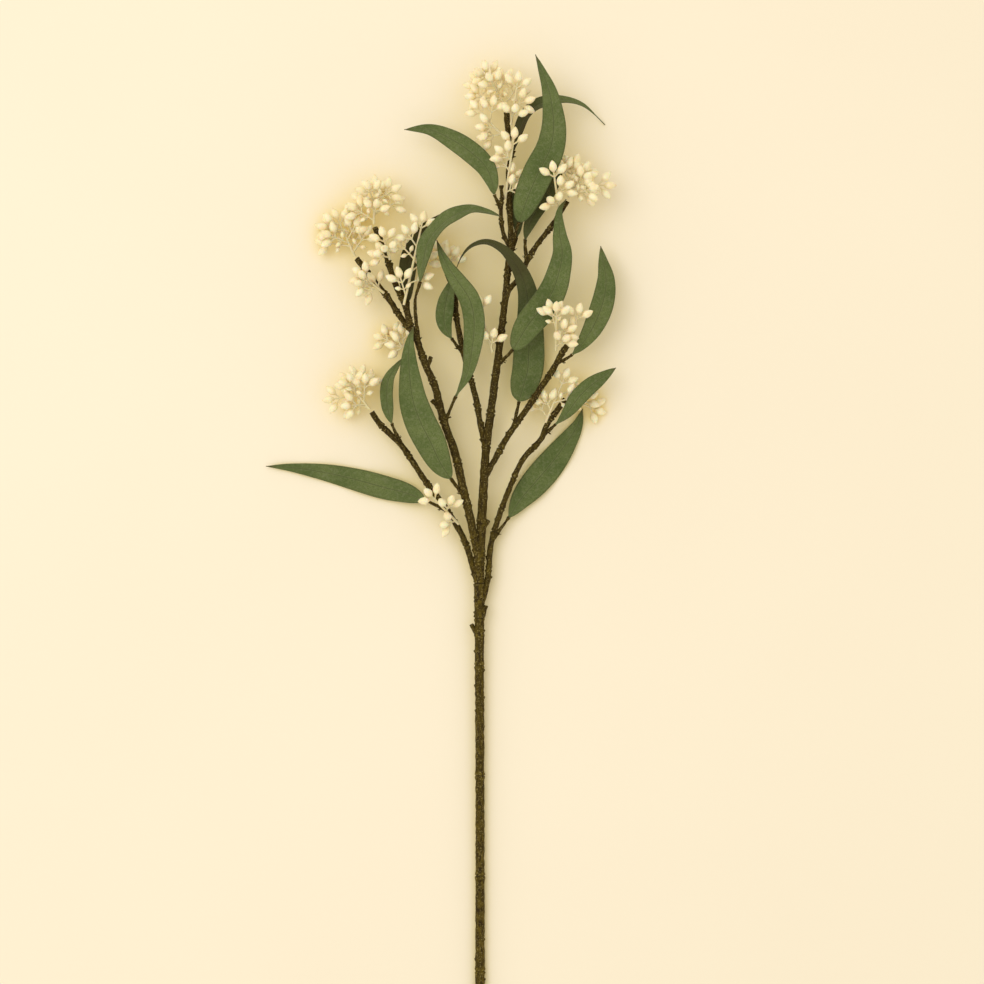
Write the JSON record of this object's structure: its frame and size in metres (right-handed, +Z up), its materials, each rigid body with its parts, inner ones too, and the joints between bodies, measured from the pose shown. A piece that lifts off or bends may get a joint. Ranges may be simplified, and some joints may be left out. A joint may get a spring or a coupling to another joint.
{
  "type": "eucalyptus branch",
  "caption": "Artificial eucalyptus spray lying flat: brown segmented stem, curved narrow grey-green leaves and sprays of cream buds.",
  "frame": {"origin": "under the middle of the spray, on the surface that it lies on", "axes": "+Y along the main stem from its cut end to the leafy head, +Z up from the surface, +X to the right seen from above with the head away"},
  "size_m": [0.2794, 0.7582, 0.0571],
  "materials": {
    "brown_bark": "matt dark olive brown moulded plastic with bark grain and ring joints",
    "green_leaf": "matt grey-green printed cloth with a pale midrib and fine veins",
    "cream_bud": "satin cream moulded plastic, greener on the thin stalks"
  },
  "bodies": {
    "root": {"main_stem": "brown_bark", "lower_left_branch": "brown_bark", "left_branch": "brown_bark", "outer_bud_twig": "brown_bark", "centre_left_branch": "brown_bark", "lower_right_branch": "brown_bark", "middle_right_branch": "brown_bark", "upper_right_branch": "brown_bark", "upper_left_twig": "brown_bark", "tall_top_leaf": "green_leaf", "top_right_leaf": "green_leaf", "top_left_leaf": "green_leaf", "arching_left_leaf": "green_leaf", "shaded_left_leaf": "green_leaf", "wide_centre_leaf": "green_leaf", "centre_right_leaf": "green_leaf", "s_curved_leaf": "green_leaf", "short_centre_leaf": "green_leaf", "long_lower_left_leaf": "green_leaf", "big_left_leaf": "green_leaf", "small_left_leaf": "green_leaf", "lower_right_leaf": "green_leaf", "short_right_leaf": "green_leaf", "upper_right_leaf": "green_leaf", "hidden_right_leaf": "green_leaf", "hidden_top_leaf": "green_leaf", "tip_buds": "cream_bud", "tip_left_buds": "cream_bud", "tip_right_buds": "cream_bud", "upper_stem_buds": "cream_bud", "upper_right_buds": "cream_bud", "upper_fork_buds": "cream_bud", "inner_left_buds": "cream_bud", "outer_left_buds": "cream_bud", "inner_twig_buds": "cream_bud", "outer_side_buds": "cream_bud", "left_cluster_buds": "cream_bud", "side_left_buds": "cream_bud", "lower_end_buds": "cream_bud", "low_node_buds": "cream_bud", "centre_buds": "cream_bud", "right_fork_buds": "cream_bud", "right_end_buds": "cream_bud", "lower_right_buds": "cream_bud", "far_right_buds": "cream_bud", "hidden_centre_buds": "cream_bud"}
  },
  "joints": []
}
